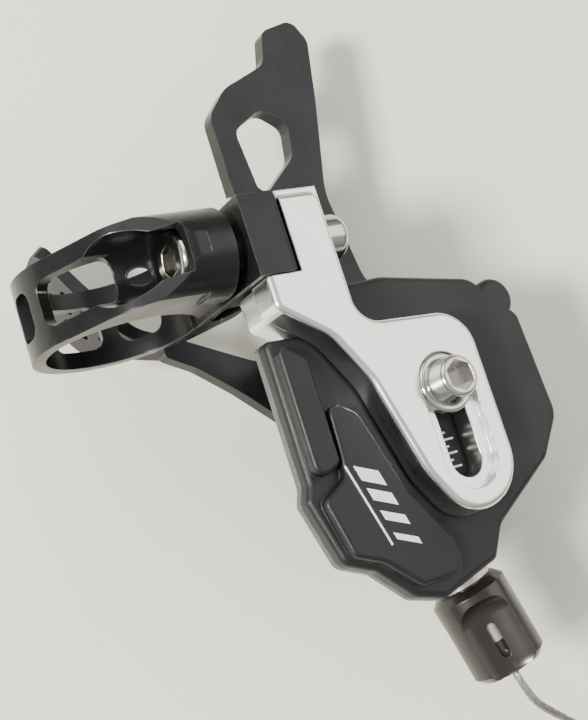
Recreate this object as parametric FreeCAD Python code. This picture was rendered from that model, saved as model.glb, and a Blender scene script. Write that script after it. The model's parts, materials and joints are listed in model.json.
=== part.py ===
"""Left-hand trigger shifter for a bicycle's front gears, lying on a flat surface.

Lengths are in millimetres. The shifter is drawn in its own frame: the handlebar's axis is X (inboard is +X),
Y points forward from the bar and Z is square to the bracket's flat face. Everything is then tipped about the
bar's axis, so that the thumb lever's pad and the housing's front edge stand on the plane Z = 0.
"""
import FreeCAD, Part
import math
import os

os.makedirs("parts", exist_ok=True)

V = FreeCAD.Vector
X_AXIS = V(1, 0, 0)
Y_AXIS = V(0, 1, 0)
Z_AXIS = V(0, 0, 1)

# Rest on the surface
tip_angle = 18.0
shift_x = -12.18
shift_y = -23.039
shift_z = 29.337

# Handlebar clamp
bar_radius = 11.1
band_outer_radius = 13.0
band_half_width = 5.85
rail_inner = 3.35
clamp_bolt_z = 15.7
clamp_bolt_radius = 2.5
bolt_hole_radius = 2.6
boss_radius = 6.4
boss_start_y = 5.6
boss_end_y = 9.4
block_start_y = 11.4
block_end_y = 17.8
block_top_z = 22.2
head_radius = 4.25
head_face_y = 2.4
head_seat_y = 7.3
counterbore_radius = 4.75
neck_end_y = 24.5
nut_end_y = 30.0
nut_radius = 3.3

# Bracket
face_z = 22.0
plate_thickness = 4.8
plate_bottom_z = face_z - plate_thickness
neck_bottom_z = 12.4
slot_y = 34.9
slot_half_width = 2.65
slot_start_x = 25.0
slot_travel = 10.8
ledge_half_width = 4.45
ledge_depth = 1.2
flange_radius = 4.3

# Mechanism
axle_x = 23.0
axle_y = 41.0
axle_radius = 3.0
sleeve_radius = 4.5
running_gap = 0.05
cable_radius = 0.6
wind_radius = 11.4
drum_radius = 12.6
ratchet_radius = 12.4
feed_radius = 8.2
cable_z = 8.0
cable_angle = 15.0
release_x = 15.0
release_y = 48.0
bump_x = 13.4
bump_y = 53.0
pawl_x = 38.0
pawl_y = 42.0
stop_x = 36.2
stop_y = 30.4
spare_x = 12.0
spare_y = 31.6
post_radius = 1.4

# Levels of the mechanism, from the bottom up
nut_bottom = -15.2
lever_bottom = -13.0
lever_top = -10.6
feed_bottom = -10.3
feed_top = -8.7
base_bottom = -8.4
base_top = -6.8
release_bottom = -1.6
release_top = 1.0
ratchet_bottom = 3.7
ratchet_top = 5.3
drum_bottom = 5.5
drum_top = 10.7
top_plate_bottom = 12.0
top_plate_top = 14.0
cover_inner = 15.0
cover_top = 16.8
rim_bottom = 12.9
spout_bottom = 2.4
seam_z = 14.6

# Adjuster, measured along the cable from the point where it leaves the drum
post_start = 19.0
post_flange_start = 25.2
knob_start = 27.2
knob_length = 13.4
knob_radius = 5.7
flute_bottom = 3.3
post_outer = 2.5
post_bore = 1.85
stop_outer = 1.8
stop_bore = 0.8
cap_radius = 3.2
cap_length = 1.6
cable_exit = 40.9

cable_dir = V(math.cos(math.radians(cable_angle)), math.sin(math.radians(cable_angle)), 0)
cable_side = V(math.sin(math.radians(cable_angle)), -math.cos(math.radians(cable_angle)), 0)
axle_point = V(axle_x, axle_y, 0)
tangent_point = axle_point + cable_side * wind_radius + Z_AXIS * cable_z

# The free cable, on the surface the shifter lies on
coil_x = 86.5
coil_y = 29.5
coil_inner = 10.4
coil_outer = 17.4
coil_low = 0.5
coil_high = 5.35
tie_angle = 200.0
tie_width = 3.0
tie_wall = 0.5
tail_length = 20.0
end_cap_radius = 1.0
end_cap_length = 10.0

# Route of the free cable from the adjuster to the coil, as it lies
cable_route = [(53.277, 18.021, 24.407), (58.107, 19.252, 24.007), (61.3, 23.4, 22.0), (66.0, 28.9, 18.0),
               (72.2, 36.2, 13.4), (79.0, 42.4, 9.2), (87.0, 46.2, 5.4), (94.9, 43.0, 4.2)]

nipple_angle = cable_angle - 90 - 70
nipple_distance = 10.6
pull_x = axle_x + 12.4 * math.cos(math.radians(-123))
pull_y = axle_y + 12.4 * math.sin(math.radians(-123))
pad_bottom = -29.03
pad_bow = 90.0
pad_thickness = 2.2
flute_radius = 7.4
flute_turn = 30.0
slit_half_width = 0.7

made = {}


# ---- shape helpers -------------------------------------------------------------------------------------

def corner_arc(before, corner, after, radius):
    """The tangent arc that rounds one corner, as its start, middle and end points."""
    to_before = (before - corner).normalize()
    to_after = (after - corner).normalize()
    half = to_before.getAngle(to_after) / 2
    reach = radius / math.tan(half)
    start = corner + to_before * reach
    end = corner + to_after * reach
    bisector = (to_before + to_after).normalize()
    centre = corner + bisector * (radius / math.sin(half))
    return start, centre - bisector * radius, end


def outline(corners, place=lambda x, y: V(x, y, 0)):
    """A closed wire through (x, y, radius) corners, each one rounded."""
    points = [place(x, y) for x, y, radius in corners]
    count = len(points)
    arcs = []
    for i in range(count):
        radius = corners[i][2]
        if radius > 0:
            arcs.append(corner_arc(points[i - 1], points[i], points[(i + 1) % count], radius))
        else:
            arcs.append((points[i], None, points[i]))
    edges = []
    for i in range(count):
        start, middle, end = arcs[i]
        if middle is not None:
            edges.append(Part.Arc(start, middle, end).toShape())
        following = arcs[(i + 1) % count][0]
        if (following - end).Length > 1e-6:
            edges.append(Part.LineSegment(end, following).toShape())
    return Part.Wire(edges)


def prism(corners, low, high):
    """An upright prism on an outline in the XY plane."""
    face = Part.Face(outline(corners, lambda x, y: V(x, y, low)))
    return face.extrude(Z_AXIS * (high - low))


def side_prism(corners, low, high):
    """A prism along X on an outline given as (y, z, radius)."""
    face = Part.Face(outline(corners, lambda y, z: V(low, y, z)))
    return face.extrude(X_AXIS * (high - low))


def disc(x, y, radius, low, high):
    return Part.makeCylinder(radius, high - low, V(x, y, low), Z_AXIS)


def ring(x, y, outer, inner, low, high):
    return disc(x, y, outer, low, high).cut(disc(x, y, inner, low - 1, high + 1))


def rod(start, direction, radius, length):
    return Part.makeCylinder(radius, length, start, direction)


def box(x0, x1, y0, y1, z0, z1):
    return Part.makeBox(x1 - x0, y1 - y0, z1 - z0, V(x0, y0, z0))


def racetrack(x0, x1, y, half_width, low, high):
    """A straight slot shape along X with round ends centred at x0 and x1."""
    body = box(x0, x1, y - half_width, y + half_width, low, high)
    return body.fuse([disc(x0, y, half_width, low, high), disc(x1, y, half_width, low, high)]).removeSplitter()


def hexagon(centre, axis, across_flats, length):
    """A hexagonal bar that starts at centre and runs along axis."""
    side = axis.cross(V(0.3, 0.2, 1)).normalize()
    other = axis.cross(side)
    corner_radius = across_flats / math.sqrt(3)
    points = []
    for i in range(7):
        turn = math.radians(60 * i)
        points.append(centre + side * (corner_radius * math.cos(turn)) + other * (corner_radius * math.sin(turn)))
    return Part.Face(Part.makePolygon(points)).extrude(axis * length)


def edges_where(shape, test):
    return [edge for edge in shape.Edges if test(edge)]


def rounded(shape, radius, test):
    """Fillet the edges that pass the test."""
    return shape.makeFillet(radius, edges_where(shape, test))


def level_edge(z):
    """A test for edges that lie in the plane at height z."""
    return lambda edge: abs(edge.BoundBox.ZMin - z) < 1e-3 and abs(edge.BoundBox.ZMax - z) < 1e-3


def coil_spring(x, y, low, turns, radius, wire):
    """A close-wound torsion spring about an upright axis."""
    rings = [Part.makeTorus(radius, wire / 2, V(x, y, low + wire / 2 + 0.92 * wire * i), Z_AXIS) for i in range(turns)]
    return rings[0].fuse(rings[1:]).removeSplitter()


def save(name, shape):
    """Tip the sub-part with the shifter, set it on the surface and keep it."""
    shape.rotate(V(0, 0, 0), X_AXIS, -tip_angle)
    shape.translate(V(shift_x, shift_y, shift_z))
    keep(name, shape)


def keep(name, shape):
    made[name] = shape
    shape.exportStep("parts/" + name + ".step")


# ---- handlebar clamp -----------------------------------------------------------------------------------

def band_window(start_angle, end_angle):
    """A window through the band between its two rails, over an angle measured from forward, upwards."""
    span = end_angle - start_angle
    wedge = Part.makeCylinder(band_outer_radius + 3, 2 * rail_inner, V(0, 0, -rail_inner), Z_AXIS, span)
    wedge.rotate(V(0, 0, 0), Z_AXIS, start_angle)
    wedge.rotate(V(0, 0, 0), V(1, 1, 1), 120)
    wedge = wedge.cut(rod(V(-rail_inner - 1, 0, 0), X_AXIS, bar_radius - 2, 2 * rail_inner + 2))
    return rounded(wedge, 1.8, lambda edge: edge.Curve.TypeId == "Part::GeomLine" and edge.BoundBox.XLength < 1e-3)


def upper_jaw():
    """Two rails that rise from the band's back to the round boss that holds the bolt's head."""
    side = [(-11.4, 6.2, 0), (-5.6, 16.2, 9), (3.4, 21.9, 3), (6.0, 21.9, 0), (6.0, 9.0, 0), (0, 10.5, 0)]
    rails = side_prism(side, -band_half_width, band_half_width)
    between = box(-rail_inner, rail_inner, -15, head_face_y + 0.4, 0, 24)
    rails = rails.cut(between.cut(rod(V(-9, 0, 0), X_AXIS, band_outer_radius, 18)))
    crown = rod(V(0, -14, clamp_bolt_z), Y_AXIS, boss_radius, 30)
    below = box(-band_half_width, band_half_width, -14, 16, 0, clamp_bolt_z)
    boss = rod(V(0, boss_start_y, clamp_bolt_z), Y_AXIS, boss_radius, boss_end_y - boss_start_y)
    base = box(-band_half_width, band_half_width, head_face_y + 0.4, boss_end_y, 5, clamp_bolt_z)
    return rails.common(crown.fuse(below)).fuse([boss, base])


def lower_jaw():
    """The arm from the band's front that ends in the block beside the bracket."""
    side = [(3.0, -12.4, 0), (12.2, -7.2, 4), (block_end_y - 0.4, 4.6, 6), (block_end_y, 9.0, 2),
            (block_end_y, block_top_z, 1.2), (block_start_y, block_top_z, 0), (block_start_y, 4.0, 0),
            (11.6, 0.0, 0), (7.0, -8.6, 0)]
    jaw = side_prism(side, -band_half_width, band_half_width)
    plan = prism([(-band_half_width, -2, 0), (band_half_width, -2, 0), (band_half_width, block_end_y, 1.4),
                  (-band_half_width, block_end_y, 1.4)], -20, 30)
    slit = side_prism([(12.6, 2.6, 0.6), (14.6, 3.0, 0.6), (16.6, 8.0, 0.6), (15.2, 8.9, 0.6), (12.6, 8.6, 0.6)], -7, 7)
    return jaw.common(plan).cut(slit)


def clamp_band():
    band = rod(V(-band_half_width, 0, 0), X_AXIS, band_outer_radius, 2 * band_half_width)
    band = band.fuse([upper_jaw(), lower_jaw()])
    band = band.cut(rod(V(-20, 0, 0), X_AXIS, bar_radius, 40))
    band = band.cut(box(-7, 7, boss_end_y, block_start_y, 0.5, 24))
    for start_angle, end_angle in ((109, 160), (170, 194), (236, 281), (294, 330)):
        band = band.cut(band_window(start_angle, end_angle))
    band = band.cut(rod(V(0, -15, clamp_bolt_z), Y_AXIS, counterbore_radius, 15 + head_seat_y))
    band = band.cut(rod(V(0, -15, clamp_bolt_z), Y_AXIS, bolt_hole_radius, 40))
    return band.removeSplitter()


def clamp_bolt():
    """A socket-head bolt with a round-edged head and a 4 mm hex socket."""
    shank = rod(V(0, head_seat_y, clamp_bolt_z), Y_AXIS, clamp_bolt_radius, neck_end_y + 3.0 - head_seat_y)
    head = rod(V(0, head_face_y, clamp_bolt_z), Y_AXIS, head_radius, head_seat_y - head_face_y)
    head = rounded(head, 0.9, lambda edge: abs(edge.BoundBox.YMax - head_face_y) < 1e-3)
    socket = hexagon(V(0, head_face_y - 0.1, clamp_bolt_z), Y_AXIS, 4.0, 3.0)
    return head.fuse(shank).cut(socket).removeSplitter()


def clamp_nut():
    """A domed sleeve nut in the bracket's front wall."""
    start = neck_end_y - 2.2
    barrel = rod(V(0, start, clamp_bolt_z), Y_AXIS, nut_radius, nut_end_y - start)
    barrel = rounded(barrel, 1.6, lambda edge: abs(edge.BoundBox.YMin - nut_end_y) < 1e-3)
    bore = rod(V(0, start - 1, clamp_bolt_z), Y_AXIS, clamp_bolt_radius, neck_end_y + 3.0 - start + 1)
    return barrel.cut(bore)


# ---- bracket -------------------------------------------------------------------------------------------

def bracket_plate():
    """The flat arm with the adjusting slot, seen square on."""
    corners = [(-5.2, 12.4, 1.2), (10.4, 12.4, 1.6), (15.4, 19.4, 6), (22.4, 23.4, 8), (36.4, 27.4, 10),
               (43.2, 31.4, 6), (42.9, 42.4, 7.5), (15.2, 42.4, 5.5), (14.3, neck_end_y, 3.6),
               (-5.2, neck_end_y, 1.5)]
    return rounded(prism(corners, plate_bottom_z, face_z), 0.9, level_edge(face_z))


def bracket_neck():
    """The fork round the clamp's block, deeper than the plate."""
    wall = prism([(-7.2, 17.9, 0.3), (-7.2, neck_end_y, 1.5), (13.0, neck_end_y, 1.0), (13.0, 17.0, 1.0),
                  (11.0, 13.0, 1.0), (6.0, 12.6, 0.6), (6.0, 17.9, 0.2)], neck_bottom_z, face_z - 0.6)
    cheek = prism([(-7.2, 12.6, 0.5), (-7.2, 19.0, 0.3), (-5.95, 19.0, 0.1), (-5.95, 12.6, 0.3)],
                  neck_bottom_z, 17.4)
    lowered = side_prism([(11.0, 17.4, 0), (26, 17.4, 0), (26, 24, 0), (11.0, 24, 0)], -8.0, -5.95)
    return wall.cut(lowered).fuse(cheek)


def bracket():
    body = bracket_plate().fuse(bracket_neck()).removeSplitter()
    body = body.cut(box(-5.95, 5.95, 0, 17.9, 0, 24))
    slot_end_x = slot_start_x + slot_travel
    body = body.cut(racetrack(slot_start_x, slot_end_x, slot_y, slot_half_width, 0, 30))
    body = body.cut(racetrack(slot_start_x, slot_end_x, slot_y, ledge_half_width, face_z - ledge_depth, 30))
    body = body.cut(rod(V(0, 10, clamp_bolt_z), Y_AXIS, bolt_hole_radius, 20))
    nut_seat = rod(V(0, neck_end_y - 2.2, clamp_bolt_z), Y_AXIS, nut_radius, 10)
    return body.cut(nut_seat)


# ---- parts that slide along the bracket's slot ----------------------------------------------------------

def bracket_bolt():
    """The flanged bolt that locks the body along the slot."""
    seat = face_z - ledge_depth
    flange = disc(slot_start_x, slot_y, flange_radius, seat, seat + 1.3)
    flange = rounded(flange, 0.5, level_edge(seat + 1.3))
    head = Part.makeCone(3.5, 2.95, 3.4, V(slot_start_x, slot_y, seat + 1.3), Z_AXIS)
    head = rounded(head, 0.7, level_edge(seat + 4.7))
    shank = disc(slot_start_x, slot_y, 2.5, top_plate_bottom + 0.2, seat)
    socket = hexagon(V(slot_start_x, slot_y, seat + 2.1), Z_AXIS, 4.0, 4.0)
    return flange.fuse([head, shank]).cut(socket).removeSplitter()


def scale_plate():
    """The dark strip under the slot that carries the setting marks."""
    low = cover_top
    strip = racetrack(slot_start_x, slot_start_x + slot_travel + 1.2, slot_y, 4.2, low, plate_bottom_z - 0.05)
    return strip.cut(disc(slot_start_x, slot_y, 2.5, low - 1, 30))


COVER = [(13.3, 12.0, 1.0), (33.4, 12.0, 2.0), (35.6, 11.1, 1.2), (44.8, 13.8, 2.0), (46.8, 18.4, 1.5),
         (51.6, 23.2, 2.0), (52.9, 27.6, 2.0), (50.0, 37.8, 1.5), (45.6, 40.6, 4.0), (38.4, 52.4, 3.0), (32.4, 57.0, 4.0),
         (16.4, 56.2, 2.0), (9.6, 49.4, 4.0), (7.0, 34.0, 6.0), (7.4, 26.2, 1.0), (13.4, 25.4, 1.0)]


def shrunk(corners, amount, low, high):
    """A prism on an outline moved inwards by an amount."""
    wire = outline(corners, lambda x, y: V(x, y, low)).makeOffset2D(-amount)
    return Part.Face(wire).extrude(Z_AXIS * (high - low))


def upper_cover():
    """The top shell: a flat deck under the bracket, a raised bar at the back and a plateau beside the arm."""
    shell = prism(COVER, seam_z, cover_top)
    bump = disc(bump_x, bump_y, 3.2, seam_z, cover_top)
    bar = prism([(13.9, 12.5, 1.0), (33.8, 12.5, 1.6), (31.8, 16.7, 1.2), (17.0, 16.7, 1.5)], cover_top, 18.8)
    plateau = prism([(22.8, 17.6, 1.5), (33.6, 17.0, 1.5), (36.2, 12.6, 1.2), (44.2, 14.6, 1.6),
                     (46.0, 18.8, 1.2), (50.4, 23.6, 1.5), (50.2, 31.0, 2.0), (45.6, 30.6, 2.0),
                     (38.0, 26.0, 4.0), (25.6, 22.0, 2.5)], cover_top, 18.4)
    bar = rounded(bar, 0.6, level_edge(18.8))
    plateau = rounded(plateau, 0.6, level_edge(18.4))
    shell = shell.fuse([bump]).removeSplitter()
    shell = rounded(shell, 1.0, level_edge(cover_top))
    shell = shell.fuse([bar, plateau]).removeSplitter()
    hollow = shrunk(COVER, 1.6, seam_z - 1, cover_inner)
    return shell.cut(hollow).cut(disc(slot_start_x, slot_y, 2.7, 0, 30))


def under_cover():
    """The grey lower rim under the top shell, with a floor that closes its overhang."""
    rim = prism(COVER, rim_bottom, seam_z - 0.15)
    rim = rounded(rim, 0.6, level_edge(rim_bottom))
    openings = [shrunk(HOUSING, -0.1, rim_bottom - 1, seam_z + 1), shrunk(SPOUT, -0.1, rim_bottom - 1, seam_z + 1)]
    side_gap = box(0, 18.0, 29.0, 60.0, rim_bottom - 1, seam_z)
    return rim.cut(openings).cut(side_gap)


HOUSING = [(17.0, 26.0, 4.0), (40.6, 26.6, 4.0), (43.4, 40.2, 4.0), (37.6, 51.4, 3.0), (32.0, 55.6, 3.0),
           (15.6, 55.6, 3.0), (9.2, 48.6, 4.0), (8.4, 30.0, 4.0)]
SKIRT = [(17.0, 29.5, 4.0), (38.0, 29.8, 4.0), (40.8, 40.0, 4.0), (37.6, 51.4, 3.0), (32.0, 55.6, 3.0),
         (15.6, 55.6, 3.0), (9.2, 48.6, 4.0), (8.4, 31.0, 4.0)]
SPOUT = [(30.0, 25.8, 1.0), (42.0, 25.8, 4.0), (50.4, 30.2, 1.5), (48.8, 36.4, 1.5), (44.4, 39.8, 4.0),
         (36.0, 46.0, 1.0), (30.0, 46.0, 1.0)]


def lever_door():
    """The opening in the housing's outboard side that the release lever works in."""
    return box(0, 15.6, 20, 54.7, release_bottom - 0.9, release_top + 0.9)


def lower_housing():
    """The tub that holds the mechanism, open at the back for the thumb lever."""
    tub = prism(HOUSING, base_bottom - 1.2, top_plate_top + 0.5)
    skirt = rounded(prism(SKIRT, lever_bottom, base_bottom), 0.8, level_edge(lever_bottom))
    tub = rounded(tub, 0.8, level_edge(base_bottom - 1.2)).fuse(skirt).removeSplitter()
    spout = prism(SPOUT, spout_bottom, top_plate_top + 0.5)
    spout = rounded(spout, 0.8, level_edge(spout_bottom))
    tub = tub.fuse(spout).removeSplitter()
    well = disc(axle_x, axle_y, 10.6, lever_bottom - 1, base_bottom)
    gate = prism([(axle_x, axle_y + 10.6, 0), (axle_x - 16, axle_y + 10.6, 0), (-10, 20, 0),
                  (28, 10, 0), (axle_x + 10.6, axle_y, 0)], lever_bottom - 1, base_bottom)
    tub = tub.cut(well).cut(gate)
    tub = tub.cut(shrunk(HOUSING, 1.3, base_bottom, 30))
    tub = tub.cut(shrunk(SPOUT, 1.3, spout_bottom + 1.4, 30))
    tub = tub.cut(lever_door())
    tub = tub.cut(along_cable(post_outer, post_start - 4, 30))
    return tub.cut(along_cable(2.0, -22, -8))


def along_cable(radius, start, end):
    """A cylinder on the cable's straight line, between two distances from the drum."""
    return rod(tangent_point + cable_dir * start, cable_dir, radius, end - start)


def port_plug():
    """The screw plug that closes the hole where the cable is fed in."""
    plug = along_cable(1.95, -19.6, -16.0)
    head = along_cable(2.9, -20.6, -19.6)
    slot = rod(tangent_point + cable_dir * -20.8 - Z_AXIS * 3, Z_AXIS, 0.4, 6)
    return plug.fuse(head).cut(slot)


# ---- cage of plates and posts --------------------------------------------------------------------------

def base_plate():
    plate = shrunk(HOUSING, 1.4, base_bottom, base_top)
    holes = [disc(axle_x, axle_y, sleeve_radius + 0.35, -20, 20), disc(release_x, release_y, 2.0, -20, 20)]
    holes += [disc(x, y, post_radius - 0.4, -20, 20) for x, y in post_places()]
    return plate.cut(holes)


def top_plate():
    """The plate that carries the axle's upper end and the thread of the bracket's bolt."""
    plate = prism([(9.6, 28.0, 2.0), (20.0, 27.4, 1.5), (38.6, 26.6, 2.0), (41.4, 42.0, 2.0), (38.0, 46.0, 2.0),
                   (26.0, 46.4, 3.0), (18.0, 44.6, 3.0), (9.8, 34.0, 2.0)], top_plate_bottom, top_plate_top)
    plate = plate.common(shrunk(HOUSING, 1.4, top_plate_bottom, top_plate_top))
    holes = [disc(axle_x, axle_y, axle_radius, 0, 20), disc(slot_start_x, slot_y, 2.5, 0, 20)]
    holes += [disc(x, y, post_radius - 0.4, 0, 20) for x, y in post_places()]
    return plate.cut(holes)


def post_places():
    return [(pawl_x, pawl_y), (stop_x, stop_y), (spare_x, spare_y)]


def spacer_post(x, y):
    """A shouldered post, riveted into the base plate and the top plate."""
    waist = disc(x, y, post_radius, base_top, top_plate_bottom)
    ends = disc(x, y, post_radius - 0.4, base_bottom, top_plate_top)
    return waist.fuse(ends).removeSplitter()


def main_axle():
    shaft = disc(axle_x, axle_y, axle_radius, nut_bottom + 0.2, top_plate_top)
    return shaft.fuse(disc(axle_x, axle_y, 3.7, top_plate_top, top_plate_top + 0.8)).removeSplitter()


def axle_nut():
    nut = hexagon(V(axle_x, axle_y, nut_bottom), Z_AXIS, 8.0, lever_bottom - 0.1 - nut_bottom)
    return nut.cut(disc(axle_x, axle_y, axle_radius, -20, 0))


def thrust_washer():
    return ring(axle_x, axle_y, 5.4, axle_radius, lever_top + 0.05, feed_bottom - 0.05)


def release_post():
    """The headed post that the release lever turns on."""
    shaft = disc(release_x, release_y, 2.0, base_bottom, release_top + 0.2)
    return shaft.fuse(disc(release_x, release_y, 3.2, release_top + 0.2, release_top + 1.2)).removeSplitter()


def lever_spring():
    return coil_spring(axle_x, axle_y, base_top + 0.1, 4, 6.2, 1.0)


# ---- winding drum --------------------------------------------------------------------------------------

def polar(radius, angle):
    """A point around the main axle."""
    turn = math.radians(angle)
    return axle_x + radius * math.cos(turn), axle_y + radius * math.sin(turn)


def toothed_disc(outer, depth, teeth, low, high):
    """A ratchet disc with saw teeth all round, bored to fit the drum's sleeve."""
    points = []
    for i in range(teeth):
        start = 360 * i / teeth
        points.append(V(*polar(outer, start), low))
        points.append(V(*polar(outer, start + 90 / teeth), low))
        points.append(V(*polar(outer - depth, start + 120 / teeth), low))
    points.append(points[0])
    plate = Part.Face(Part.makePolygon(points)).extrude(Z_AXIS * (high - low))
    return plate.cut(disc(axle_x, axle_y, sleeve_radius, low - 1, high + 1))


def winding_drum():
    """The grooved drum with a long sleeve on the axle and a well for its spring."""
    drum = disc(axle_x, axle_y, drum_radius, drum_bottom, drum_top)
    drum = drum.fuse(disc(axle_x, axle_y, sleeve_radius, feed_bottom, drum_top + 0.6)).removeSplitter()
    groove = ring(axle_x, axle_y, drum_radius + 2, wind_radius - cable_radius - 0.05, cable_z - 0.75, cable_z + 0.75)
    well = ring(axle_x, axle_y, 9.6, sleeve_radius, drum_top - 3.2, drum_top + 2)
    bore = disc(axle_x, axle_y, axle_radius + running_gap, -20, 20)
    pocket = disc(*polar(nipple_distance, nipple_angle), 2.05, 6.2, 20)
    mouth = disc(*polar(wind_radius + 2.4, nipple_angle), 1.8, 6.2, 20)
    return drum.cut([groove, well, bore, pocket, mouth])


def ratchet_plate():
    return toothed_disc(ratchet_radius, 1.3, 18, ratchet_bottom, ratchet_top)


def feed_ratchet():
    return toothed_disc(feed_radius, 1.1, 14, feed_bottom, feed_top)


def drum_spring():
    return coil_spring(axle_x, axle_y, drum_top - 3.1, 3, 7.0, 1.0)


def cable_nipple():
    x, y = polar(nipple_distance, nipple_angle)
    return rounded(disc(x, y, 2.0, 6.25, 10.2), 0.3, level_edge(10.2))


def wound_cable():
    """The stretch of cable that lies in the drum's groove, from the nipple almost to where it leaves."""
    start = nipple_angle + 11
    end = cable_angle - 90 - 2
    path = Part.makeCircle(wind_radius, V(axle_x, axle_y, cable_z), Z_AXIS, start, end)
    x, y = polar(wind_radius, start)
    tangent = V(-math.sin(math.radians(start)), math.cos(math.radians(start)), 0)
    section = Part.Wire(Part.makeCircle(cable_radius, V(x, y, cable_z), tangent))
    return Part.Wire(path).makePipeShell([section], True, True)


# ---- pawls ---------------------------------------------------------------------------------------------

def pawl(x, y, hub, bore, nose_radius, nose_angle, reach, low, high):
    """A pawl on its pivot, with a finger whose tip stands just off a ratchet's teeth."""
    tip = V(*polar(nose_radius, nose_angle), low)
    pivot = V(x, y, low)
    along = (tip - pivot).normalize()
    across = V(-along.y, along.x, 0)
    outward = (tip - V(axle_x, axle_y, low)).normalize()
    back = tip + outward * reach
    if across.dot(outward) < 0:
        across = across * -1
    corners = [tip, back, pivot + across * (hub * 0.9), pivot - across * (hub * 0.55), tip]
    finger = Part.Face(Part.makePolygon(corners)).extrude(Z_AXIS * (high - low))
    body = finger.fuse(disc(x, y, hub, low, high)).removeSplitter()
    return body.cut(disc(x, y, bore, low - 1, high + 1))


def positioning_pawl():
    return pawl(pawl_x, pawl_y, 2.3, post_radius + running_gap, ratchet_radius + 0.4, 30, 1.6,
                ratchet_bottom, ratchet_top)


def stop_pawl():
    return pawl(stop_x, stop_y, 2.3, post_radius + running_gap, ratchet_radius + 0.4, -62, 1.1,
                ratchet_bottom, ratchet_top)


def pulling_pawl():
    return pawl(pull_x, pull_y, 2.3, 1.2 + running_gap, feed_radius + 0.4, -92, 1.4,
                feed_bottom + 0.05, feed_top - 0.1)


# ---- thumb lever ---------------------------------------------------------------------------------------

def lever_pad():
    """The thumb pad: a thin upright wall below the lever, with rounded ends and two rows of drilled holes."""
    start = V(7.6, 14.9, 0)
    end = V(-15.0, -2.6, 0)
    along = (end - start).normalize()
    normal = V(-along.y, along.x, 0)
    length = (end - start).Length

    def place(s, z):
        return start + along * s - normal * 6 + Z_AXIS * z

    profile = [(0, lever_bottom, 0.2), (2.2, lever_bottom, 3), (11.6, pad_bottom, 4),
               (length - 2.0, pad_bottom + 2.4, 5), (length, -14.4, 2.0), (9.0, -14.4, 4),
               (5.0, lever_top, 1.5), (0, lever_top, 0.2)]
    slab = Part.Face(outline(profile, place)).extrude(normal * 14)
    centre = (start + end) * 0.5 - normal * pad_bow
    bow_radius = math.hypot(pad_bow, length / 2)
    half_wall = pad_thickness / 2
    arc_wall = ring(centre.x, centre.y, bow_radius + half_wall, bow_radius - half_wall, pad_bottom - 1, lever_top)
    wall = slab.common(arc_wall)
    holes = []
    for row in range(3):
        for step in range(5):
            s = 10.5 + 3.4 * step + 1.1 * (row % 2)
            place_z = -17.2 - 3.0 * row
            holes.append(rod(start + along * s - normal * 8 + Z_AXIS * place_z, normal, 0.7, 16))
    return wall.cut(holes)


def main_lever():
    """The thumb lever: a flat hub and arm under the housing, with its pad below the handlebar."""
    arm = prism([(17.0, 46.0, 2.0), (9.6, 25.0, 8.0), (3.4, 12.4, 1.0), (6.4, 10.6, 1.0), (9.2, 15.6, 6.0),
                 (13.9, 21.3, 6.0), (21.0, 28.6, 6.0), (30.6, 35.0, 2.0), (28.0, 44.0, 3.0)], lever_bottom, lever_top)
    plate = arm.fuse(disc(axle_x, axle_y, 8.4, lever_bottom, lever_top)).removeSplitter()
    plate = plate.fuse(lever_pad()).removeSplitter()
    return plate.cut([disc(axle_x, axle_y, 4.2, -30, 0), disc(pull_x, pull_y, 1.2, -30, 0)])


def lever_bush():
    return ring(axle_x, axle_y, 4.2, axle_radius + running_gap, lever_bottom, lever_top)


def pull_pin():
    return disc(pull_x, pull_y, 1.2, lever_bottom, feed_top)


# ---- release lever -------------------------------------------------------------------------------------

def release_lever():
    """The finger lever: a flat arm with a pear-shaped hole and an upright pad along its front edge."""
    arm = prism([(-42.4, 44.6, 2.0), (-40.6, 38.4, 2.0), (-34.8, 36.8, 3.0), (-31.2, 28.4, 5.0), (-26.8, 24.3, 3.5),
                 (-10.0, 24.2, 12.0), (3.0, 27.0, 5.0), (13.0, 43.2, 2.0), (19.8, 45.6, 4.0), (18.0, 52.8, 4.0),
                 (10.2, 52.8, 4.0), (4.0, 42.6, 6.0), (-12.0, 40.4, 12.0), (-28.0, 44.4, 12.0), (-38.6, 46.6, 2.5)],
                release_bottom, release_top)
    hole = prism([(-24.0, 27.8, 2.2), (-27.4, 33.8, 2.5), (-24.4, 37.6, 2.2), (-18.6, 36.6, 3.0),
                  (-12.2, 28.9, 1.4)], release_bottom - 1, release_top + 1)
    arm = arm.cut(hole)
    wall = prism([(-43.0, 43.8, 1.0), (-40.8, 44.0, 1.0), (-34.0, 44.0, 6.0), (-24.0, 41.2, 20.0), (-6.0, 38.4, 3.0),
                  (-4.0, 40.4, 1.0), (-18.0, 43.0, 20.0), (-33.0, 47.0, 12.0), (-42.4, 46.4, 2.0)],
                 release_bottom - 2.6, release_top + 6.0)
    trim = Part.Face(outline([(-46, -6, 0), (-42.0, -4.6, 3), (-20, -4.6, 8), (-3.0, release_bottom, 0.5),
                              (-3.0, 1.4, 0.5), (-18.0, 6.0, 8), (-36.0, 7.0, 6), (-41.6, 7.0, 3), (-46, 2, 3)],
                             lambda x, z: V(x, 30, z))).extrude(Y_AXIS * 30)
    body = arm.fuse(wall.common(trim)).removeSplitter()
    return body.cut(disc(release_x, release_y, 2.0 + running_gap, -10, 10))


# ---- cable adjuster ------------------------------------------------------------------------------------

def adjuster_post():
    """The fixed tube that the knob turns on, with a collar against the housing."""
    tube = along_cable(post_outer, post_start, 36.0)
    collar = along_cable(4.2, post_flange_start, knob_start - 0.3)
    return tube.fuse(collar).removeSplitter().cut(along_cable(post_bore, post_start - 1, 40))


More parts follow.
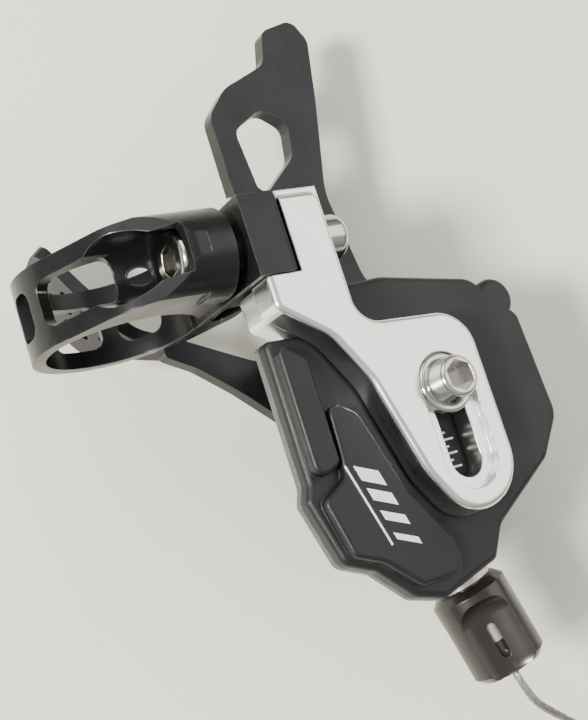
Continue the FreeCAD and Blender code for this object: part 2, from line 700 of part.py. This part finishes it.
def cable_stop():
    """The sliding seat for the cable's end, carried by the knob."""
    stem = along_cable(stop_outer, 32.0, cable_exit - cap_length)
    cap = along_cable(cap_radius, cable_exit - cap_length, cable_exit)
    return stem.fuse(cap).removeSplitter().cut(along_cable(stop_bore, 30, 50))


def adjuster_knob():
    """A knob with three scooped flutes, each with a slot through to the tube inside."""
    end = knob_start + knob_length
    knob = along_cable(knob_radius, knob_start, end)
    knob = knob.makeChamfer(1.0, [edge for edge in knob.Edges if edge.Curve.TypeId == "Part::GeomCircle"])
    knob = knob.cut(along_cable(post_outer + running_gap, knob_start - 1, 38.0))
    knob = knob.cut(along_cable(stop_outer + running_gap, 37, 50))
    knob = knob.cut(along_cable(cap_radius + running_gap, cable_exit - cap_length - 0.05, 50))
    for i in range(3):
        turn = flute_turn + 120 * i
        out = (Z_AXIS * math.cos(math.radians(turn)) + cable_side * math.sin(math.radians(turn)))
        centre = tangent_point + out * (flute_bottom + flute_radius)
        flute = rod(centre + cable_dir * (knob_start + 2.0), cable_dir, flute_radius, knob_length)
        flute = flute.makeFillet(3.0, [edge for edge in flute.Edges if edge.Curve.TypeId == "Part::GeomCircle"])
        near = tangent_point + cable_dir * (knob_start + 6.6)
        far = tangent_point + cable_dir * (knob_start + 10.6)
        across = out.cross(cable_dir).normalize() * slit_half_width
        slit = Part.Face(Part.makePolygon([near - across, near + across, far + across, far - across, near - across]))
        ends = [rod(point, out, slit_half_width, 8) for point in (near, far)]
        knob = knob.cut(flute).cut(slit.extrude(out * 8).fuse(ends))
    return knob


def cable_run():
    """The straight stretch of cable from the drum through the adjuster."""
    return along_cable(cable_radius, 0.3, cable_exit)


# ---- free cable ----------------------------------------------------------------------------------------

def swept(points, radius, name):
    """A round tube along straight runs joined by arcs as large as the runs allow."""
    points = [V(*point) for point in points]
    edges = []
    here = points[0]
    radii = []
    for i in range(1, len(points) - 1):
        before = points[i - 1] - points[i]
        after = points[i + 1] - points[i]
        reach = 0.45 * min(before.Length, after.Length)
        bend = reach * math.tan(before.getAngle(after) / 2)
        radii.append(round(bend, 1))
        start, middle, end = corner_arc(points[i - 1], points[i], points[i + 1], bend)
        edges.append(Part.LineSegment(here, start).toShape())
        edges.append(Part.Arc(start, middle, end).toShape())
        here = end
    edges.append(Part.LineSegment(here, points[-1]).toShape())
    path = Part.Wire(edges)
    section = Part.Wire(Part.makeCircle(radius, points[0], points[1] - points[0]))
    tube = path.makePipeShell([section], True, True)
    exact = math.pi * radius ** 2 * path.Length
    print(name, "radii", radii, "length", round(path.Length, 1), "volume", round(tube.Volume / exact, 4))
    return tube


def cable_coil():
    """The outer shape of the wound-up length of cable."""
    coil = ring(coil_x, coil_y, coil_outer, coil_inner, coil_low, coil_high)
    return rounded(coil, 0.8, lambda edge: True)


def cable_free(coil):
    return swept(cable_route, cable_radius, "cable_free").cut(coil)


def cable_tail(coil):
    """The last short stretch of cable, which leaves the coil along the surface."""
    start = V(coil_x + coil_outer - 1.0, coil_y, cable_radius)
    return rod(start, Y_AXIS * -1, cable_radius, tail_length).cut(coil)


def cable_end_cap(coil):
    """The crimped cap on the cable's end."""
    start = V(coil_x + coil_outer - 1.0, coil_y - tail_length, end_cap_radius)
    cap = rod(start, Y_AXIS * -1, end_cap_radius, end_cap_length)
    return rounded(cap, 0.4, lambda edge: edge.BoundBox.YLength < 1e-3).cut(coil)


def coil_tie(coil):
    """A flat strap closed round the coil's turns."""
    middle = (coil_outer + coil_inner) / 2
    half_width = (coil_outer - coil_inner) / 2 + 0.05
    half_height = (coil_high - coil_low) / 2 + 0.05
    centre_z = (coil_high + coil_low) / 2

    def strap(grow):
        width = 2 * (half_width + grow)
        height = 2 * (half_height + grow)
        block = Part.makeBox(width, tie_width, height, V(middle - width / 2, -tie_width / 2, centre_z - height / 2))
        block = rounded(block, 0.7, lambda edge: edge.BoundBox.YLength > tie_width - 0.1)
        block.rotate(V(0, 0, 0), Z_AXIS, tie_angle)
        block.translate(V(coil_x, coil_y, 0))
        return block

    return strap(tie_wall - 0.05).cut(strap(0)).cut(coil)


for make in (clamp_band, clamp_bolt, clamp_nut, bracket, bracket_bolt, scale_plate, upper_cover, under_cover,
             lower_housing, port_plug, base_plate, top_plate, main_axle, axle_nut, thrust_washer, release_post,
             lever_spring, winding_drum, ratchet_plate, feed_ratchet, drum_spring, cable_nipple, wound_cable,
             positioning_pawl, stop_pawl, pulling_pawl, main_lever, lever_bush, pull_pin, release_lever,
             adjuster_post, cable_stop, adjuster_knob, cable_run):
    save(make.__name__, make())
save("pawl_post", spacer_post(pawl_x, pawl_y))
save("stop_post", spacer_post(stop_x, stop_y))
save("spacer_post", spacer_post(spare_x, spare_y))

wound_up = cable_coil()
keep("cable_coil", wound_up)
for make in (cable_free, cable_tail, cable_end_cap, coil_tie):
    keep(make.__name__, make(wound_up))

for name, shape in made.items():
    print(name, len(shape.Solids), shape.isValid(), round(shape.Volume, 1))
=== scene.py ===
"""The looks of the trigger shifter: its materials, printed marks and cable, on a pale table."""
import json
import math

import bmesh
import bpy
from mathutils import Matrix, Vector


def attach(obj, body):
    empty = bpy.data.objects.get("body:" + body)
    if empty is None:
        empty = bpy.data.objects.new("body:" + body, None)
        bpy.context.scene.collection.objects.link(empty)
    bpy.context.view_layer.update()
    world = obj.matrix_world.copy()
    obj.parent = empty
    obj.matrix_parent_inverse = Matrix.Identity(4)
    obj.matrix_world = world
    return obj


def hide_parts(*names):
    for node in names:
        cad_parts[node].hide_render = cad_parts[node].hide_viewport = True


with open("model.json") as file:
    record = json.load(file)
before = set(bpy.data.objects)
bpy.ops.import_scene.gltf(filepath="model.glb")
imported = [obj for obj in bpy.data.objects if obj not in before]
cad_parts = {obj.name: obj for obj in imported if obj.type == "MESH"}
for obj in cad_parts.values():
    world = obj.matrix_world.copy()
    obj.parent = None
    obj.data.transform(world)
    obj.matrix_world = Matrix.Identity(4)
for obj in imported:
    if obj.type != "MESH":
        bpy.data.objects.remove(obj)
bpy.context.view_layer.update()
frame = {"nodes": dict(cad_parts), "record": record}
nodes = frame["nodes"]
mounts = {mount["name"]: mount for mount in frame["record"]["mounts"]}

MM = 0.001
UP = Vector((0, 0, 1))

# The shifter's own frame: X along the handlebar, Y forward and Z square to the bracket's face
tip_angle = math.radians(18)
bar_centre = Vector(mounts["handlebar_clamp"]["pos_m"])
shifter_frame = Matrix.Translation(bar_centre) @ Matrix.Rotation(-tip_angle, 4, "X")

# Camera
camera_place = (0.03497, -0.04514, 0.21072)
camera_turn = (13.610, -10.283, 72.318)
camera_lens = 66.08

# The gear cable, in metres
wire_radius = 0.0006
strand_count = 8
strand_depth = 0.00011
strand_twist = 0.0085
cable_route = [(0.053277, 0.018021, 0.024407), (0.058107, 0.019252, 0.024007), (0.0608, 0.0218, 0.0226),
               (0.0662, 0.0286, 0.0186), (0.0722, 0.0362, 0.0134), (0.0790, 0.0424, 0.0092),
               (0.0870, 0.0464, 0.0056)]
coil_centre = Vector((0.0865, 0.0295, 0))
coil_inner = 0.01105
coil_outer = 0.01675
coil_bottom = 0.0011
coil_layers = 4
layer_pitch = 0.0012
coil_start_degrees = 58
coil_turns = 19 + coil_start_degrees / 360
step_down = 0.94
points_per_turn = 24
tail_x = 0.1029
tail_route = [(0.0245, 0.0008), (0.0195, 0.0007), (0.0140, 0.0007), (0.0105, 0.0009), (0.0078, 0.0010)]

# The scale under the bracket's slot and the mark on the cover, in millimetres of the shifter's frame
scale_top = 17.15
scale_first_x = 31.2
scale_last_x = 38.2
scale_rear_y = 32.3
scale_line_count = 8
scale_line_half_width = 0.14
scale_short_line = 3.2
scale_long_line = 4.3
bar_count = 4
bar_start = (32.6, 18.4)
bar_step = (3.3, 0.95)
bar_lean = (1.5, 3.6)
bar_first_width = 2.2
bar_width_drop = 0.4
bar_slope = 0.29
underline = [(-0.2, -1.4), (11.5, 2.0), (11.4, 2.3), (-0.3, -1.1)]
cover_plateau = 18.4
ink_height = 0.03

# Studio: each light's name, place, size, power and colour
light_target = (0.0, 0.0, 0.02)
lights = [("key", (0.05, -0.52, 0.60), 0.14, 12.5, (1.0, 0.975, 0.92)),
          ("fill", (-0.70, -0.25, 0.80), 0.8, 5.0, (1.0, 0.99, 0.95)),
          ("sheen", (-0.17, 0.74, 0.50), 0.7, 2.6, (1.0, 0.995, 0.97))]
table_half_width = 3.0
horizon_height = 0.05
horizon_color = (0.26, 0.25, 0.235, 1)
ceiling_height = 0.62
ceiling_color = (1.0, 1.0, 0.97, 1)
world_strength = 0.72


# ---- camera ---------------------------------------------------------------------------------------------

def make_camera():
    data = bpy.data.cameras.new("camera")
    data.lens = camera_lens
    data.clip_start = 0.005
    camera = bpy.data.objects.new("camera", data)
    camera.location = camera_place
    camera.rotation_euler = [math.radians(angle) for angle in camera_turn]
    bpy.context.collection.objects.link(camera)
    bpy.context.scene.camera = camera


# ---- cable ----------------------------------------------------------------------------------------------

def coil_points():
    """The put-away turns: layers that spiral in and out in turn, from the top one down."""
    points = []
    total = round(coil_turns * points_per_turn)
    for i in range(1, total + 1):
        layers = coil_layers * i / total
        layer = min(int(layers), coil_layers - 1)
        share = layers - layer
        across = share if layer % 2 else 1 - share
        drop = max(0.0, (share - step_down) / (1 - step_down)) if layer < coil_layers - 1 else 0.0
        radius = coil_inner + (coil_outer - coil_inner) * across
        turn = math.radians(coil_start_degrees) - 2 * math.pi * coil_turns * i / total
        height = coil_bottom + layer_pitch * (coil_layers - 1 - layer - drop)
        points.append(coil_centre + Vector((radius * math.cos(turn), radius * math.sin(turn), height)))
    return points


def tail_points():
    """The end of the cable lies straight beside the coil and goes into its cap."""
    return [Vector((tail_x, y, z)) for y, z in tail_route]


def cable_line():
    """The cable's smooth centreline, read from a spline through its route and turns."""
    points = [Vector(point) for point in cable_route] + coil_points() + tail_points()
    curve = bpy.data.curves.new("cable_line", "CURVE")
    curve.dimensions = "3D"
    spline = curve.splines.new("NURBS")
    spline.points.add(len(points) - 1)
    for target, point in zip(spline.points, points):
        target.co = (*point, 1)
    spline.order_u = 3
    spline.use_endpoint_u = True
    spline.resolution_u = 6
    holder = bpy.data.objects.new("cable_line", curve)
    line = bpy.data.meshes.new_from_object(holder)
    path = [vertex.co.copy() for vertex in line.vertices]
    bpy.data.objects.remove(holder)
    bpy.data.meshes.remove(line)
    return path


def twisted_tube(name, path, radius):
    """A wire rope: a tube whose strands stand out as lobes and turn about its centreline."""
    mesh = bmesh.new()
    sides = 3 * strand_count
    side = (path[1] - path[0]).cross(UP).normalized()
    travelled = 0.0
    previous = None
    for i, point in enumerate(path):
        ahead = (path[min(i + 1, len(path) - 1)] - path[max(i - 1, 0)]).normalized()
        side = (side - ahead * side.dot(ahead)).normalized()
        other = ahead.cross(side)
        if i:
            travelled += (point - path[i - 1]).length
        twist = 2 * math.pi * travelled / strand_twist
        ring = []
        for k in range(sides):
            angle = 2 * math.pi * k / sides + twist
            reach = radius - (strand_depth if k % 3 == 0 else 0)
            ring.append(mesh.verts.new(point + (side * math.cos(angle) + other * math.sin(angle)) * reach))
        if previous:
            for k in range(sides):
                following = (k + 1) % sides
                mesh.faces.new((previous[k], previous[following], ring[following], ring[k]))
        else:
            mesh.faces.new(list(reversed(ring)))
        previous = ring
    mesh.faces.new(previous)
    return finished_mesh(name, mesh, smooth=True)


def make_cable():
    path = cable_line()
    cable = twisted_tube("gear_cable", path, wire_radius)
    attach(cable, "shifter_body")
    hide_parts("cable_free", "cable_coil", "cable_tail")
    return cable


# ---- mesh helpers ---------------------------------------------------------------------------------------

def finished_mesh(name, mesh, smooth=False):
    """Turn a bmesh into an object in the scene."""
    data = bpy.data.meshes.new(name)
    bmesh.ops.recalc_face_normals(mesh, faces=mesh.faces)
    mesh.to_mesh(data)
    mesh.free()
    for polygon in data.polygons:
        polygon.use_smooth = smooth
    piece = bpy.data.objects.new(name, data)
    bpy.context.collection.objects.link(piece)
    return piece


def add_patch(mesh, corners, z, height):
    """A thin raised patch of ink on a level face of the shifter, with its upper edges drawn in."""
    middle = Vector((sum(x for x, y in corners), sum(y for x, y in corners))) / len(corners)
    low = [mesh.verts.new(shifter_frame @ (Vector((x, y, z)) * MM)) for x, y in corners]
    high = []
    for x, y in corners:
        inward = (middle - Vector((x, y))).normalized() * height
        high.append(mesh.verts.new(shifter_frame @ (Vector((x + inward.x, y + inward.y, z + height)) * MM)))
    mesh.faces.new(high)
    mesh.faces.new(list(reversed(low)))
    for i in range(len(corners)):
        following = (i + 1) % len(corners)
        mesh.faces.new((low[i], low[following], high[following], high[i]))


# ---- printed marks --------------------------------------------------------------------------------------

def setting_marks():
    """Short and long setting lines across the strip that shows through the slot."""
    mesh = bmesh.new()
    spacing = (scale_last_x - scale_first_x) / (scale_line_count - 1)
    for i in range(scale_line_count):
        x = scale_first_x + spacing * i
        left = x - scale_line_half_width
        right = x + scale_line_half_width
        end = scale_rear_y + (scale_long_line if i % 2 else scale_short_line)
        corners = [(left, scale_rear_y), (right, scale_rear_y), (right, end), (left, end)]
        add_patch(mesh, corners, scale_top, ink_height)
    return finished_mesh("setting_marks", mesh)


def cover_mark():
    """A plain row of leaning bars that get narrower, over a thin line."""
    mesh = bmesh.new()
    for i in range(bar_count):
        x = bar_start[0] + bar_step[0] * i
        y = bar_start[1] + bar_step[1] * i
        width = bar_first_width - bar_width_drop * i
        near = [(x, y), (x + width, y + width * bar_slope)]
        far = [(a + bar_lean[0], b + bar_lean[1]) for a, b in reversed(near)]
        add_patch(mesh, near + far, cover_plateau, ink_height)
    line = [(bar_start[0] + a, bar_start[1] + b) for a, b in underline]
    add_patch(mesh, line, cover_plateau, ink_height)
    return finished_mesh("cover_mark", mesh)


# ---- materials ------------------------------------------------------------------------------------------

class Surface:
    """A procedural material built up in layers on one Principled shader."""

    def __init__(self, name, color, metallic=0.0, roughness=0.5):
        self.material = bpy.data.materials.new(name)
        self.material.use_nodes = True
        self.nodes = self.material.node_tree.nodes
        self.links = self.material.node_tree.links
        self.shader = self.nodes["Principled BSDF"]
        self.shader.inputs["Metallic"].default_value = metallic
        self.place = self.nodes.new("ShaderNodeTexCoord").outputs["Object"]
        self.color = color
        self.roughness = roughness
        self.normal = None

    def feed(self, value, socket):
        """Set a plain number or colour on a socket, or link another socket to it."""
        if isinstance(value, tuple):
            socket.default_value = (*value, 1)
        elif isinstance(value, (int, float)):
            socket.default_value = value
        else:
            self.links.new(value, socket)

    def noise(self, scale, detail=3.0, stretch=(1, 1, 1)):
        mapping = self.nodes.new("ShaderNodeMapping")
        mapping.inputs["Scale"].default_value = stretch
        self.links.new(self.place, mapping.inputs["Vector"])
        node = self.nodes.new("ShaderNodeTexNoise")
        node.inputs["Scale"].default_value = scale
        node.inputs["Detail"].default_value = detail
        self.links.new(mapping.outputs[0], node.inputs["Vector"])
        return node.outputs["Fac"]

    def ramp(self, source, low, high, start=0.0, end=1.0):
        node = self.nodes.new("ShaderNodeMapRange")
        for socket, number in zip(("From Min", "From Max", "To Min", "To Max"), (low, high, start, end)):
            node.inputs[socket].default_value = number
        self.links.new(source, node.inputs["Value"])
        return node.outputs[0]

    def math(self, operation, first, second):
        node = self.nodes.new("ShaderNodeMath")
        node.operation = operation
        self.feed(first, node.inputs[0])
        self.feed(second, node.inputs[1])
        return node.outputs[0]

    def mix(self, mask, color):
        """Lay a colour over what is there, where the mask is 1."""
        node = self.nodes.new("ShaderNodeMix")
        node.data_type = "RGBA"
        self.links.new(mask, node.inputs["Factor"])
        self.feed(self.color, node.inputs["A"])
        self.feed(color, node.inputs["B"])
        self.color = node.outputs["Result"]

    def edge_mask(self, radius, low, high):
        """1 along edges and 0 on flats, from how far a rounded normal leans away from the true one."""
        rounded = self.nodes.new("ShaderNodeBevel")
        rounded.samples = 6
        rounded.inputs["Radius"].default_value = radius
        geometry = self.nodes.new("ShaderNodeNewGeometry")
        dot = self.nodes.new("ShaderNodeVectorMath")
        dot.operation = "DOT_PRODUCT"
        self.links.new(rounded.outputs[0], dot.inputs[0])
        self.links.new(geometry.outputs["Normal"], dot.inputs[1])
        return self.ramp(dot.outputs["Value"], high, low)

    def mottle(self, color, scale=150, amount=0.5):
        self.mix(self.ramp(self.noise(scale), 0.4, 0.75, 0.0, amount), color)
        return self

    def smudges(self, amount, scale=110):
        """Handling marks that change the gloss in soft patches."""
        patch = self.ramp(self.noise(scale, 4.0), 0.35, 0.7, -amount, amount)
        self.roughness = self.math("ADD", self.roughness, patch)
        return self

    # Lighter, glossier edges: real wear on most finishes, but a painted highlight along the polished
    # bracket's edges
    def edge_wear_and_highlight(self, color, radius=0.0004, amount=0.6, gloss=-0.08):
        edge = self.edge_mask(radius, 0.86, 0.985)
        patchy = self.math("MULTIPLY", edge, self.ramp(self.noise(420, 4.0), 0.42, 0.62, 0.15, 1.0))
        self.mix(self.math("MULTIPLY", patchy, amount), color)
        self.roughness = self.math("ADD", self.roughness, self.math("MULTIPLY", patchy, gloss))
        return self

    def relief(self, scale, depth, detail=2.0, stretch=(1, 1, 1)):
        """Fine grain in the surface, stacked on any relief already there."""
        bump = self.nodes.new("ShaderNodeBump")
        bump.inputs["Distance"].default_value = depth
        bump.inputs["Strength"].default_value = 1.0
        self.links.new(self.noise(scale, detail, stretch), bump.inputs["Height"])
        if self.normal is not None:
            self.links.new(self.normal, bump.inputs["Normal"])
        self.normal = bump.outputs[0]
        return self

    def soft_corners(self, radius):
        node = self.nodes.new("ShaderNodeBevel")
        node.samples = 6
        node.inputs["Radius"].default_value = radius
        self.normal = node.outputs[0]
        return self

    def coat(self, weight, roughness):
        self.shader.inputs["Coat Weight"].default_value = weight
        self.shader.inputs["Coat Roughness"].default_value = roughness
        return self

    def done(self):
        self.feed(self.color, self.shader.inputs["Base Color"])
        self.feed(self.roughness, self.shader.inputs["Roughness"])
        if self.normal is not None:
            self.links.new(self.normal, self.shader.inputs["Normal"])
        return self.material


def black_anodised():
    surface = Surface("black_anodised", (0.014, 0.015, 0.017), 0.55, 0.3)
    surface.soft_corners(0.00018).mottle((0.022, 0.021, 0.022), 260, 0.6)
    surface.edge_wear_and_highlight((0.19, 0.185, 0.18), 0.0003, 0.55).smudges(0.07)
    return surface.relief(9000, 0.000006).relief(700, 0.000012).done()


def polished_aluminium():
    surface = Surface("polished_aluminium", (0.87, 0.87, 0.855), 1.0, 0.24)
    surface.soft_corners(0.00035).mottle((0.80, 0.80, 0.79), 180, 0.5)
    # The brighter edge colour here is a painted highlight standing in for the bracket's mirror-bright edge
    # bevel, not wear
    surface.edge_wear_and_highlight((0.90, 0.885, 0.86), 0.0007, 0.5, -0.24).smudges(0.05)
    return surface.relief(2600, 0.000004, 3.0, (0.05, 1, 1)).done()


def polished_steel():
    surface = Surface("polished_steel", (0.60, 0.585, 0.56), 1.0, 0.16)
    surface.soft_corners(0.0002).mottle((0.42, 0.40, 0.37), 320, 0.5)
    return surface.edge_wear_and_highlight((0.8, 0.79, 0.77), 0.0003, 0.4).smudges(0.06).relief(5000, 0.000003).done()


def zinc_steel():
    surface = Surface("zinc_steel", (0.48, 0.48, 0.46), 1.0, 0.34)
    surface.soft_corners(0.0001).mottle((0.36, 0.36, 0.33), 400, 0.7)
    return surface.smudges(0.1).relief(3000, 0.000005, 3.0).done()


def spring_steel():
    surface = Surface("spring_steel", (0.3, 0.3, 0.31), 1.0, 0.3)
    surface.mottle((0.18, 0.17, 0.16), 700, 0.7).smudges(0.07, 500)
    return surface.relief(5000, 0.000004, 2.0, (1, 1, 0.2)).done()


def strand_steel():
    surface = Surface("strand_steel", (0.5, 0.49, 0.46), 1.0, 0.34)
    surface.mottle((0.25, 0.235, 0.21), 1500, 0.8)
    return surface.smudges(0.08, 900).relief(12000, 0.000006).done()


def cover_plastic():
    surface = Surface("cover_plastic", (0.0075, 0.009, 0.0098), 0.0, 0.46)
    surface.shader.inputs["Specular IOR Level"].default_value = 0.36
    surface.soft_corners(0.00025).mottle((0.013, 0.0145, 0.0155), 220, 0.6)
    surface.edge_wear_and_highlight((0.075, 0.078, 0.08), 0.0004, 0.5, -0.1).smudges(0.07)
    return surface.relief(5200, 0.00002, 1.0).done()


def housing_plastic():
    surface = Surface("housing_plastic", (0.010, 0.011, 0.0115), 0.0, 0.54)
    surface.shader.inputs["Specular IOR Level"].default_value = 0.36
    surface.soft_corners(0.00025).mottle((0.016, 0.017, 0.018), 240, 0.6)
    surface.edge_wear_and_highlight((0.06, 0.06, 0.062), 0.0004, 0.4).smudges(0.06)
    return surface.relief(4200, 0.000025, 1.0).done()


def rim_plastic():
    surface = Surface("rim_plastic", (0.072, 0.076, 0.08), 0.2, 0.36)
    surface.soft_corners(0.0002).mottle((0.11, 0.115, 0.12), 260, 0.6)
    return surface.edge_wear_and_highlight((0.3, 0.3, 0.3), 0.0003, 0.5).smudges(0.06).relief(6000, 0.000008).done()


def knob_plastic():
    surface = Surface("knob_plastic", (0.011, 0.0085, 0.0078), 0.0, 0.3)
    surface.soft_corners(0.0002).mottle((0.018, 0.013, 0.011), 300, 0.6)
    surface.edge_wear_and_highlight((0.09, 0.066, 0.056), 0.0003, 0.5, -0.08).smudges(0.08)
    return surface.relief(4000, 0.000006).coat(0.25, 0.2).done()


def post_aluminium():
    surface = Surface("post_aluminium", (0.72, 0.64, 0.61), 0.85, 0.38)
    surface.mottle((0.62, 0.52, 0.5), 500, 0.6).smudges(0.07, 400)
    return surface.relief(3000, 0.000006, 2.0, (12, 1, 1)).done()


def stop_steel():
    surface = Surface("stop_steel", (0.16, 0.155, 0.15), 0.9, 0.36)
    surface.soft_corners(0.0001).mottle((0.1, 0.095, 0.09), 500, 0.6)
    return surface.edge_wear_and_highlight((0.4, 0.39, 0.37), 0.0002, 0.5).relief(5000, 0.000005).done()


def acetal():
    surface = Surface("acetal", (0.66, 0.65, 0.6), 0.0, 0.42)
    surface.mottle((0.55, 0.53, 0.46), 300, 0.5)
    surface.shader.inputs["Subsurface Weight"].default_value = 0.1
    return surface.smudges(0.06).relief(3500, 0.00001).done()


def tie_nylon():
    surface = Surface("tie_nylon", (0.016, 0.016, 0.017), 0.0, 0.45)
    surface.soft_corners(0.0001).mottle((0.03, 0.03, 0.03), 600, 0.5)
    return surface.smudges(0.08, 500).relief(2200, 0.00002, 1.0, (1, 1, 3)).done()


def cap_aluminium():
    surface = Surface("cap_aluminium", (0.78, 0.78, 0.77), 1.0, 0.26)
    surface.soft_corners(0.0001).mottle((0.62, 0.62, 0.61), 700, 0.6)
    return surface.smudges(0.08, 500).relief(2600, 0.000006, 2.0, (1, 0.1, 1)).done()


def scale_strip():
    surface = Surface("scale_strip", (0.006, 0.006, 0.0065), 0.0, 0.62)
    surface.shader.inputs["Specular IOR Level"].default_value = 0.25
    return surface.mottle((0.011, 0.011, 0.0115), 500, 0.6).smudges(0.08).relief(4000, 0.00001).done()


def pale_ink():
    surface = Surface("pale_ink", (0.80, 0.81, 0.81), 0.0, 0.5)
    surface.mottle((0.62, 0.63, 0.64), 900, 0.7).smudges(0.06, 600)
    return surface.relief(6000, 0.000008).done()


def table_top():
    """Glossy pale laminate with faint wipe marks."""
    surface = Surface("table_top", (0.80, 0.79, 0.69), 0.0, 0.3)
    surface.mottle((0.73, 0.725, 0.63), 14, 0.5).mottle((0.82, 0.81, 0.73), 60, 0.3).smudges(0.06, 22)
    return surface.relief(900, 0.000004).done()


def dress_nodes():
    """Give every CAD node the material of its place in the shifter."""
    black = black_anodised()
    steel = polished_steel()
    zinc = zinc_steel()
    spring = spring_steel()
    strand = strand_steel()
    housing = housing_plastic()
    plastic = acetal()
    finishes = {
        black: ["clamp_band", "main_lever", "release_lever"],
        polished_aluminium(): ["bracket"],
        steel: ["clamp_bolt", "clamp_nut", "bracket_bolt", "axle_nut", "cable_nipple"],
        zinc: ["base_plate", "top_plate", "main_axle", "thrust_washer", "release_post", "pawl_post",
               "stop_post", "spacer_post", "ratchet_plate", "feed_ratchet", "positioning_pawl",
               "stop_pawl", "pulling_pawl", "pull_pin"],
        spring: ["lever_spring", "drum_spring"],
        strand: ["cable_run", "wound_cable"],
        cover_plastic(): ["upper_cover"],
        housing: ["lower_housing", "port_plug"],
        rim_plastic(): ["under_cover"],
        knob_plastic(): ["adjuster_knob"],
        post_aluminium(): ["adjuster_post"],
        stop_steel(): ["cable_stop"],
        plastic: ["winding_drum", "lever_bush"],
        tie_nylon(): ["coil_tie"],
        cap_aluminium(): ["cable_end_cap"],
        scale_strip(): ["scale_plate"],
    }
    for material, names in finishes.items():
        for name in names:
            dress(nodes[name], material)
    return strand


def dress(piece, material):
    piece.data.materials.clear()
    piece.data.materials.append(material)


# ---- studio ---------------------------------------------------------------------------------------------

def area_light(name, place, size, power, color):
    data = bpy.data.lights.new(name, "AREA")
    data.size = size
    data.energy = power
    data.color = color
    light = bpy.data.objects.new(name, data)
    light.location = place
    light.rotation_euler = (Vector(light_target) - Vector(place)).to_track_quat("-Z", "Y").to_euler()
    bpy.context.collection.objects.link(light)


def make_studio():
    mesh = bmesh.new()
    bmesh.ops.create_grid(mesh, x_segments=1, y_segments=1, size=table_half_width)
    table = finished_mesh("table", mesh)
    dress(table, table_top())
    for light in lights:
        area_light(*light)
    make_world()


def make_world():
    """A plain bright ceiling that darkens towards the horizon, for the metal to reflect."""
    world = bpy.data.worlds.new("studio")
    world.use_nodes = True
    tree = world.node_tree
    place = tree.nodes.new("ShaderNodeTexCoord")
    parts = tree.nodes.new("ShaderNodeSeparateXYZ")
    ramp = tree.nodes.new("ShaderNodeValToRGB")
    ramp.color_ramp.elements[0].position = horizon_height
    ramp.color_ramp.elements[0].color = horizon_color
    ramp.color_ramp.elements[1].position = ceiling_height
    ramp.color_ramp.elements[1].color = ceiling_color
    tree.links.new(place.outputs["Generated"], parts.inputs[0])
    tree.links.new(parts.outputs["Z"], ramp.inputs[0])
    background = tree.nodes["Background"]
    background.inputs["Strength"].default_value = world_strength
    tree.links.new(ramp.outputs[0], background.inputs["Color"])
    bpy.context.scene.world = world


# ---- making ---------------------------------------------------------------------------------------------

make_camera()
cable = make_cable()
strand = dress_nodes()
dress(cable, strand)

ink = pale_ink()
for mark in (setting_marks(), cover_mark()):
    dress(mark, ink)
    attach(mark, "shifter_body")

make_studio()
